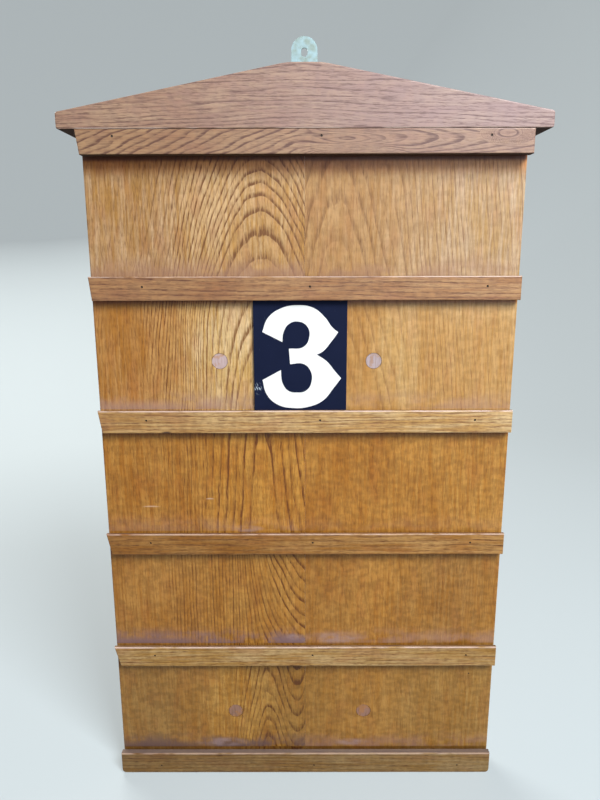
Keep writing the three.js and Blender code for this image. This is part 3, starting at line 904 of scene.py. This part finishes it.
def cornice():
    """Slanting grain on the left, tongues that point right past the middle, and a small knot near the end."""
    finish = Finish("oak_cornice")
    x, y, z = finish.place
    waves = finish.waves(finish.place, CORNICE_WAVE_LUMP, seed=51, swing=CORNICE_WAVE)
    slant = (z + y * SLANT_DEPTH_SLOPE - x * SLANT + waves) / SLANT_RING
    rise = z - CORNICE_BOTTOM - TONGUE_MIDDLE
    along = x - TONGUE_WIDER * finish.past(x, TONGUE_WIDER_START, TONGUE_WIDER_EASE) + waves
    point = TONGUE_BLUNT - TONGUE_LONGER * finish.band(x, *TONGUE_LONGER_ACROSS)
    tongues = (along + point * rise * rise) / TONGUE_RING - TONGUE_SHIFT
    rings = finish.mix(finish.band(x, *TONGUE_START), slant, tongues)
    knot = finish.length((x - KNOT_X) / KNOT_STRETCH, rise - KNOT_RISE)
    rings = finish.mix(finish.band(knot, *KNOT_EDGE), rings, knot / KNOT_RING)
    # The pale veil grows towards the right: a painted sheen on top of cloudy varnish.
    bloom_and_sheen = CORNICE_LEAST_BLOOM + CORNICE_SHEEN_TO_RIGHT * finish.band(x, *CORNICE_SHEEN_ACROSS)
    colour, roughness, height = oak(
        finish, (x, z, y), rings, 53, CORNICE_CONTRAST, CORNICE_TEXTURE, CORNICE_TONE, bloom_and_sheen,
    )
    varnish(finish, colour, roughness, height)
    finish.give("cornice_face", "cornice_spacer")


# Pediment
PEDIMENT_TONE = (0.585, 0.66, 1.10)
PEDIMENT_CONTRAST = 0.75
PEDIMENT_TEXTURE = 0.95
PEDIMENT_LEAST_BLOOM = 0.30
PEDIMENT_SHEEN_TO_RIGHT = 0.28
PEDIMENT_SHEEN_ACROSS = (-150, 190)
PEDIMENT_RING = 3.4
PEDIMENT_WAVE_LUMP = (130, 14, 14)
PEDIMENT_WAVE = 12
PEDIMENT_DEPTH_SLOPE = 0.5
PEDIMENT_END_RISE = 0.03
PEDIMENT_HIGHLIGHT_LUMP = (26, 4, 4)
PEDIMENT_HIGHLIGHT_BAND = (0.42, 0.58)
PEDIMENT_ARRIS_UP = (1.1, 0.5)
PEDIMENT_ARRIS_IN = (1.2, 0.6)
DUST = (0.16, 0.115, 0.095)
DUST_SHARE = 0.6


def pediment():
    """Grain along the length, dust on the slopes, a painted sheen that grows to the right, and a lower arris
    painted pale in places as a highlight.
    """
    finish = Finish("oak_pediment")
    x, y, z = finish.place
    waves = finish.waves(finish.place, PEDIMENT_WAVE_LUMP, seed=61, swing=PEDIMENT_WAVE)
    outward = finish.math("ABSOLUTE", x) * PEDIMENT_END_RISE
    rings = (z + y * PEDIMENT_DEPTH_SLOPE + outward + waves) / PEDIMENT_RING
    # The pale veil grows towards the right: a painted sheen on top of cloudy varnish.
    bloom_and_sheen = PEDIMENT_LEAST_BLOOM + PEDIMENT_SHEEN_TO_RIGHT * finish.band(x, *PEDIMENT_SHEEN_ACROSS)
    colour, roughness, height = oak(
        finish, (x, z, y), rings, 63, PEDIMENT_CONTRAST, PEDIMENT_TEXTURE, PEDIMENT_TONE, bloom_and_sheen,
    )
    dusty = finish.band(finish.normal_z, *TOPSIDE) * DUST_SHARE
    colour = finish.mix(dusty, colour, DUST)
    front, bottom = front_of("pediment"), level("pediment")[0]
    # A patchy pale line along the lower arris: a painted highlight.
    arris = finish.band_at(z, bottom, PEDIMENT_ARRIS_UP) * finish.band_at(y, front, PEDIMENT_ARRIS_IN)
    patchy = finish.noise(finish.place, PEDIMENT_HIGHLIGHT_LUMP, seed=65)
    colour = finish.mix(arris * finish.band(patchy, *PEDIMENT_HIGHLIGHT_BAND), colour, ARRIS_WEAR_AND_HIGHLIGHT)
    varnish(finish, colour, roughness, height)
    finish.give("pediment")


# Pellets: right is the tint of the right-hand one of a pair
PELLET_LOOKS = {
    "upper": dict(pale=(0.49, 0.36, 0.34), dark=(0.415, 0.285, 0.255), right=(0.86, 0.92, 0.97), seed=71),
    "lower": dict(pale=(0.28, 0.147, 0.096), dark=(0.212, 0.109, 0.066), right=(1.04, 1.02, 1.04), seed=72),
}
PELLET_GRAIN_LUMP = (1.2, 1.2, 9)
PELLET_GRAIN_BAND = (0.4, 0.65)
PELLET_VARNISH_LUMP = (6, 6, 6)
PELLET_VARNISH_BAND = (0.50, 0.60)
PELLET_VARNISH_SHARE = 0.4
PELLET_VARNISH_SEED = 2
PELLET_SIDES = (-10, 10)
PELLET_ROUGHNESS = 0.45
PELLET_GRAIN_ROUGHNESS = 0.2
PELLET_RELIEF = 0.08


def pellets(side, pale, dark, right, seed):
    """The two plugs of a batten, of plain wood with some varnish left on them."""
    finish = Finish(f"pellet_wood_{side}")
    grain = finish.noise(finish.place, PELLET_GRAIN_LUMP, seed)
    patchy = finish.noise(finish.place, PELLET_VARNISH_LUMP, seed + PELLET_VARNISH_SEED)
    colour = finish.mix(finish.band(grain, *PELLET_GRAIN_BAND), pale, dark)
    colour = finish.mix(finish.band(patchy, *PELLET_VARNISH_BAND) * PELLET_VARNISH_SHARE, colour, OAK_HONEY)
    colour = finish.tint(colour, finish.mix(finish.band(finish.x, *PELLET_SIDES), WHITE, right))
    finish.paint(Base_Color=colour, Roughness=PELLET_ROUGHNESS + PELLET_GRAIN_ROUGHNESS * grain)
    finish.paint(Normal=finish.bump(grain, PELLET_RELIEF))
    finish.give(f"pellet_{side}_left", f"pellet_{side}_right")


# Softwood
DEAL_PALE = (0.50, 0.33, 0.16)
DEAL_DARK = (0.27, 0.13, 0.05)
DEAL_RING = 4.5
DEAL_DEPTH_SLOPE = 0.7
DEAL_WAVE_LUMP = (150, 18, 18)
DEAL_WAVE = 16
DEAL_LATE_START = (0.45, 0.95)
DEAL_LATE_END = (1.0, 0.95)
DEAL_LATE_SHARE = 0.6
DEAL_FIBRE_LUMP = (24, 0.8, 0.8)
DEAL_FIBRE_SHARE = 0.25
DEAL_ROUGHNESS = 0.72
DEAL_FIBRE_ROUGHNESS = 0.15
DEAL_RELIEF = 0.15


def softwood():
    """Battens and dowels: unvarnished deal with grain along x."""
    finish = Finish("batten_wood")
    waves = finish.waves(finish.place, DEAL_WAVE_LUMP, seed=81, swing=DEAL_WAVE)
    year = finish.math("FRACT", (finish.z + finish.y * DEAL_DEPTH_SLOPE + waves) / DEAL_RING)
    late = finish.band(year, *DEAL_LATE_START) * finish.band(year, *DEAL_LATE_END)
    fibres = finish.noise(finish.place, DEAL_FIBRE_LUMP, seed=83)
    colour = finish.mix(late * DEAL_LATE_SHARE + fibres * DEAL_FIBRE_SHARE, DEAL_PALE, DEAL_DARK)
    finish.paint(Base_Color=colour, Roughness=DEAL_ROUGHNESS + DEAL_FIBRE_ROUGHNESS * fibres)
    finish.paint(Normal=finish.bump(fibres, DEAL_RELIEF))
    woods = ("batten_upper", "batten_lower", "pediment_dowel")
    finish.give(*(name for name in nodes if name.startswith(woods)))


# Metal
STEEL_DULL = (0.05, 0.035, 0.025)
STEEL_RUST = (0.025, 0.012, 0.008)
RUST_LUMP = (1.1, 1.1, 1.1)
RUST_BAND = (0.35, 0.65)
STEEL_METALLIC = 0.5
RUST_METALLIC_LOSS = 0.4
STEEL_ROUGHNESS = 0.55
RUST_ROUGHNESS = 0.3
BRASS_BRIGHT = (0.24, 0.325, 0.335)
BRASS_DULL = (0.195, 0.235, 0.205)
BRASS_CLOUD_LUMP = (6, 6, 6)
BRASS_CLOUD_BAND = (0.35, 0.7)
BRASS_SCORE_LUMP = (0.35, 2, 7)
BRASS_METALLIC = 0.9
BRASS_ROUGHNESS = 0.40
BRASS_SCORE_ROUGHNESS = 0.25
BRASS_RELIEF = 0.03


def steel():
    """Pins and screws, dulled and rusted."""
    finish = Finish("rusty_steel")
    rust = finish.band(finish.noise(finish.place, RUST_LUMP, seed=91), *RUST_BAND)
    finish.paint(Base_Color=finish.mix(rust, STEEL_DULL, STEEL_RUST))
    finish.paint(Metallic=STEEL_METALLIC - RUST_METALLIC_LOSS * rust)
    finish.paint(Roughness=STEEL_ROUGHNESS + RUST_ROUGHNESS * rust)
    finish.give(*(name for name in nodes if "_pin_" in name or name.startswith("batten_screw")))


def brass():
    """Pale worn brass, grey-green in places, with fine scratches."""
    finish = Finish("worn_brass")
    cloud = finish.noise(finish.place, BRASS_CLOUD_LUMP, seed=95, detail=RICH_DETAIL)
    scores = finish.noise(finish.place, BRASS_SCORE_LUMP, seed=96)
    finish.paint(Base_Color=finish.mix(finish.band(cloud, *BRASS_CLOUD_BAND), BRASS_BRIGHT, BRASS_DULL))
    finish.paint(Metallic=BRASS_METALLIC, Roughness=BRASS_ROUGHNESS + BRASS_SCORE_ROUGHNESS * scores)
    finish.paint(Normal=finish.bump(scores, BRASS_RELIEF))
    finish.give("hanger_plate", "hanger_screw_left", "hanger_screw_right")


# Card: its paint, and a rubbed place by its left edge
CARD_BLACK = (0.003, 0.006, 0.022)
CARD_BLUER = (0.007, 0.011, 0.034)
CARD_MARK = (0.10, 0.13, 0.18)
CARD_RUBBED = (0.45, 0.52, 0.58)
CARD_CLOUD_LUMP = (14, 14, 14)
CARD_MARK_LUMP = (0.9, 4, 4.5)
CARD_MARK_BAND = (0.70, 0.80)
CARD_MARK_SHARE = 0.30
CARD_ROUGHNESS = 0.60
CARD_CLOUD_ROUGHNESS = 0.2
CARD_SPECULAR = 0.1
CARD_RELIEF = 0.02
RUB_INSET = 3
RUB_RISE = 18
RUB_HALF_WIDTH = 4
RUB_HALF_HEIGHT = 6
RUB_SLANT = 0.4
RUB_LUMP = (0.8, 2, 3)
RUB_BAND = (0.50, 0.62)
RUB_SHARE = 0.8


def card_paint():
    """Near-black paint with faint marks."""
    finish = Finish("card_paint")
    x, y, z = finish.place
    left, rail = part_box("number_card")[0].x / MM, rail_top(2)
    cloud = finish.noise(finish.place, CARD_CLOUD_LUMP, seed=101, detail=RICH_DETAIL)
    marks = finish.noise(finish.place, CARD_MARK_LUMP, seed=102)
    colour = finish.mix(cloud, CARD_BLACK, CARD_BLUER)
    colour = finish.mix(finish.band(marks, *CARD_MARK_BAND) * CARD_MARK_SHARE, colour, CARD_MARK)
    aside, up = x - left - RUB_INSET, z - rail - RUB_RISE
    pale_share = finish.spot(aside / RUB_HALF_WIDTH, up / RUB_HALF_HEIGHT)
    streaky = finish.noise((x + z * RUB_SLANT, y, z), RUB_LUMP, seed=103)
    pale_share = pale_share * finish.band(streaky, *RUB_BAND)
    colour = finish.mix(pale_share * RUB_SHARE, colour, CARD_RUBBED)
    finish.paint(Base_Color=colour, Roughness=CARD_ROUGHNESS + CARD_CLOUD_ROUGHNESS * cloud)
    finish.paint(Normal=finish.bump(marks, CARD_RELIEF), Specular_IOR_Level=CARD_SPECULAR)
    finish.give("number_card")


left_board()
right_board()
for rail, look in RAIL_LOOKS.items():
    lath(rail, **look)
cornice()
pediment()
for side, look in PELLET_LOOKS.items():
    pellets(side, **look)
softwood()
steel()
brass()
card_paint()


# The numeral on the card: corners and smooth points in millimetres, from the card's middle and the rail's top
NUMERAL = [
    ("corner", -30.8, 64.8), ("smooth", -26.2, 76.0), ("smooth", -15.5, 83.8), ("smooth", -2.5, 86.3),
    ("smooth", 10.5, 84.2), ("smooth", 20.0, 76.5), ("smooth", 26.2, 68.2), ("corner", 30.8, 64.5),
    ("smooth", 24.6, 56.0), ("smooth", 18.4, 48.8), ("corner", 13.5, 46.2),
    ("smooth", 21.8, 40.5), ("smooth", 28.6, 32.2), ("corner", 33.5, 26.6),
    ("smooth", 27.6, 18.6), ("smooth", 18.4, 7.6), ("smooth", 5.4, 2.2), ("smooth", -5.0, 1.4),
    ("smooth", -18.2, 4.1), ("smooth", -27.6, 12.6), ("corner", -31.2, 25.2),
    ("corner", -16.0, 33.5), ("smooth", -14.6, 22.4), ("smooth", -9.8, 16.0), ("smooth", -3.4, 14.6),
    ("smooth", 4.6, 16.2), ("smooth", 9.2, 23.8), ("smooth", 8.0, 33.4), ("smooth", 2.6, 38.5),
    ("corner", -8.4, 38.4), ("corner", -9.3, 51.1), ("smooth", 2.6, 52.6), ("smooth", 7.2, 60.0),
    ("smooth", 5.8, 69.0), ("smooth", -1.6, 73.2), ("smooth", -9.2, 71.2), ("smooth", -13.6, 64.4),
    ("corner", -14.6, 56.6),
]
NUMERAL_THICKNESS = 0.12
NUMERAL_STEPS = 10
NUMERAL_WHITE = (0.86, 0.85, 0.80)
NUMERAL_GREYED = (0.66, 0.70, 0.66)
NUMERAL_SPECK = (0.30, 0.32, 0.33)
NUMERAL_CLOUD_LUMP = (9, 9, 9)
NUMERAL_CLOUD_BAND = (0.4, 0.75)
NUMERAL_CLOUD_SHARE = 0.35
NUMERAL_SPECK_LUMP = (0.9, 0.9, 1.4)
NUMERAL_SPECK_BAND = (0.74, 0.82)
NUMERAL_SPECK_SHARE = 0.35
NUMERAL_ROUGHNESS = 0.42
NUMERAL_CLOUD_ROUGHNESS = 0.2
NUMERAL_RELIEF = 0.02


def numeral_paint():
    """White paint, greyed in clouds, with dark specks."""
    finish = Finish("numeral_paint")
    cloud = finish.noise(finish.place, NUMERAL_CLOUD_LUMP, seed=161, detail=RICH_DETAIL)
    specks = finish.band(finish.noise(finish.place, NUMERAL_SPECK_LUMP, seed=162), *NUMERAL_SPECK_BAND)
    greyed = finish.band(cloud, *NUMERAL_CLOUD_BAND) * NUMERAL_CLOUD_SHARE
    colour = finish.mix(greyed, NUMERAL_WHITE, NUMERAL_GREYED)
    colour = finish.mix(specks * NUMERAL_SPECK_SHARE, colour, NUMERAL_SPECK)
    finish.paint(Base_Color=colour, Roughness=NUMERAL_ROUGHNESS + NUMERAL_CLOUD_ROUGHNESS * cloud)
    finish.paint(Normal=finish.bump(cloud, NUMERAL_RELIEF))
    return finish.material


def numeral():
    """White painted figure, a thin skin on the card's face."""
    low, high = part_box("number_card")
    middle, face, rail = (low.x + high.x) / 2, low.y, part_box("rail_2_face")[1].z
    curve = bpy.data.curves.new("numeral_outline", "CURVE")
    curve.dimensions = "2D"
    curve.fill_mode = "BOTH"
    curve.resolution_u = NUMERAL_STEPS
    curve.extrude = NUMERAL_THICKNESS / 2 * MM
    spline = curve.splines.new("BEZIER")
    spline.bezier_points.add(len(NUMERAL) - 1)
    spline.use_cyclic_u = True
    for point, (kind, x, z) in zip(spline.bezier_points, NUMERAL):
        point.co = (x * MM, z * MM, 0)
        handle = "VECTOR" if kind == "corner" else "AUTO"
        point.handle_left_type = handle
        point.handle_right_type = handle
    drawn = bpy.data.objects.new("numeral_curve", curve)
    bpy.context.scene.collection.objects.link(drawn)
    bpy.context.view_layer.update()
    mesh = bpy.data.meshes.new_from_object(drawn.evaluated_get(bpy.context.evaluated_depsgraph_get()))
    bpy.data.objects.remove(drawn)
    turn = Euler((math.pi / 2, 0, 0)).to_matrix().to_4x4()
    turn.translation = Vector((middle, face - NUMERAL_THICKNESS / 2 * MM, rail))
    mesh.transform(turn)
    mesh.name = "card_numeral"
    piece = bpy.data.objects.new("card_numeral", mesh)
    bpy.context.scene.collection.objects.link(piece)
    mesh.materials.clear()
    mesh.materials.append(numeral_paint())
    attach(piece, "card")


numeral()


# Stage, light and camera
def pale_floor():
    """Pale where it is seen, straight or in a reflection, and quieter in the light it throws back."""
    finish = Finish("pale_floor")
    path = finish.node("ShaderNodeLightPath")
    bounced = Field(finish, path.outputs["Is Diffuse Ray"])
    finish.paint(Base_Color=finish.mix(bounced, FLOOR_COLOUR, FLOOR_BOUNCE), Roughness=FLOOR_ROUGHNESS)
    finish.paint(Emission_Color=FLOOR_TINT, Emission_Strength=(1 - bounced) * FLOOR_GLOW)
    return finish.material


def sweep():
    """Round pale floor under the board, curving up into a backdrop well away from it on every side."""
    floor = cad_low.z - FLOOR_DROP
    profile = [(WALL_DISTANCE - SWEEP_RADIUS, floor)]
    for step in range(1, SWEEP_STEPS + 1):
        angle = math.pi / 2 * step / SWEEP_STEPS
        out = WALL_DISTANCE - SWEEP_RADIUS + SWEEP_RADIUS * math.sin(angle)
        profile.append((out, floor + SWEEP_RADIUS * (1 - math.cos(angle))))
    profile.append((WALL_DISTANCE, WALL_TOP))
    points = [(0, 0, floor)]
    for out, height in profile:
        for side in range(SWEEP_SIDES):
            turn = 2 * math.pi * side / SWEEP_SIDES
            points.append((out * math.cos(turn), out * math.sin(turn), height))
    faces = [(0, 1 + side, 1 + (side + 1) % SWEEP_SIDES) for side in range(SWEEP_SIDES)]
    for ring in range(len(profile) - 1):
        inner, outer = 1 + ring * SWEEP_SIDES, 1 + (ring + 1) * SWEEP_SIDES
        for side in range(SWEEP_SIDES):
            after = (side + 1) % SWEEP_SIDES
            faces.append((inner + side, outer + side, outer + after, inner + after))
    mesh = bpy.data.meshes.new("floor_sweep")
    mesh.from_pydata(points, [], faces)
    mesh.shade_smooth()
    mesh.materials.append(pale_floor())
    piece = bpy.data.objects.new("floor_sweep", mesh)
    bpy.context.scene.collection.objects.link(piece)


def world():
    """Bright where it is seen or reflected, and faint as a light."""
    made = bpy.data.worlds.new("studio")
    made.use_nodes = True
    tree = made.node_tree
    back = tree.nodes["Background"]
    back.inputs["Color"].default_value = (*WORLD_COLOUR, 1)
    path = tree.nodes.new("ShaderNodeLightPath")
    seen = path.outputs["Is Camera Ray"]
    for ray in ("Is Glossy Ray", "Is Transmission Ray"):
        either = tree.nodes.new("ShaderNodeMath")
        either.operation = "MAXIMUM"
        tree.links.new(seen, either.inputs[0])
        tree.links.new(path.outputs[ray], either.inputs[1])
        seen = either.outputs[0]
    strength = tree.nodes.new("ShaderNodeMapRange")
    strength.inputs["To Min"].default_value = WORLD_LIGHT
    strength.inputs["To Max"].default_value = WORLD_SHOWN
    tree.links.new(seen, strength.inputs["Value"])
    tree.links.new(strength.outputs[0], back.inputs["Strength"])
    bpy.context.scene.world = made


def softbox(name, place, size, watts, colour):
    """A square or oblong lamp, aimed at the board and hidden from the camera."""
    lamp = bpy.data.lights.new(name, "AREA")
    lamp.shape = "RECTANGLE"
    lamp.size, lamp.size_y = size
    lamp.energy = watts
    lamp.color = colour
    placed = bpy.data.objects.new(name, lamp)
    placed.location = place
    placed.rotation_mode = "QUATERNION"
    placed.rotation_quaternion = (Vector(SOFTBOX_AIM) - Vector(place)).to_track_quat("-Z", "Y")
    placed.visible_camera = False
    bpy.context.scene.collection.objects.link(placed)


def camera():
    """A pinhole camera that takes the photograph's view."""
    lens = bpy.data.cameras.new("camera")
    lens.sensor_fit = "AUTO"
    lens.sensor_width = SENSOR
    lens.lens = FOCAL_PIXELS * SENSOR / IMAGE_LONG_SIDE
    lens.clip_start = CLIP_START
    placed = bpy.data.objects.new("camera", lens)
    placed.location = CAMERA_PLACE
    placed.rotation_euler = [math.radians(angle) for angle in CAMERA_TURN]
    bpy.context.scene.collection.objects.link(placed)
    bpy.context.scene.camera = placed


sweep()
world()
for name, look in SOFTBOXES.items():
    softbox(name, **look)
camera()
bpy.context.scene.view_settings.view_transform = "Standard"

bpy.context.view_layer.update()
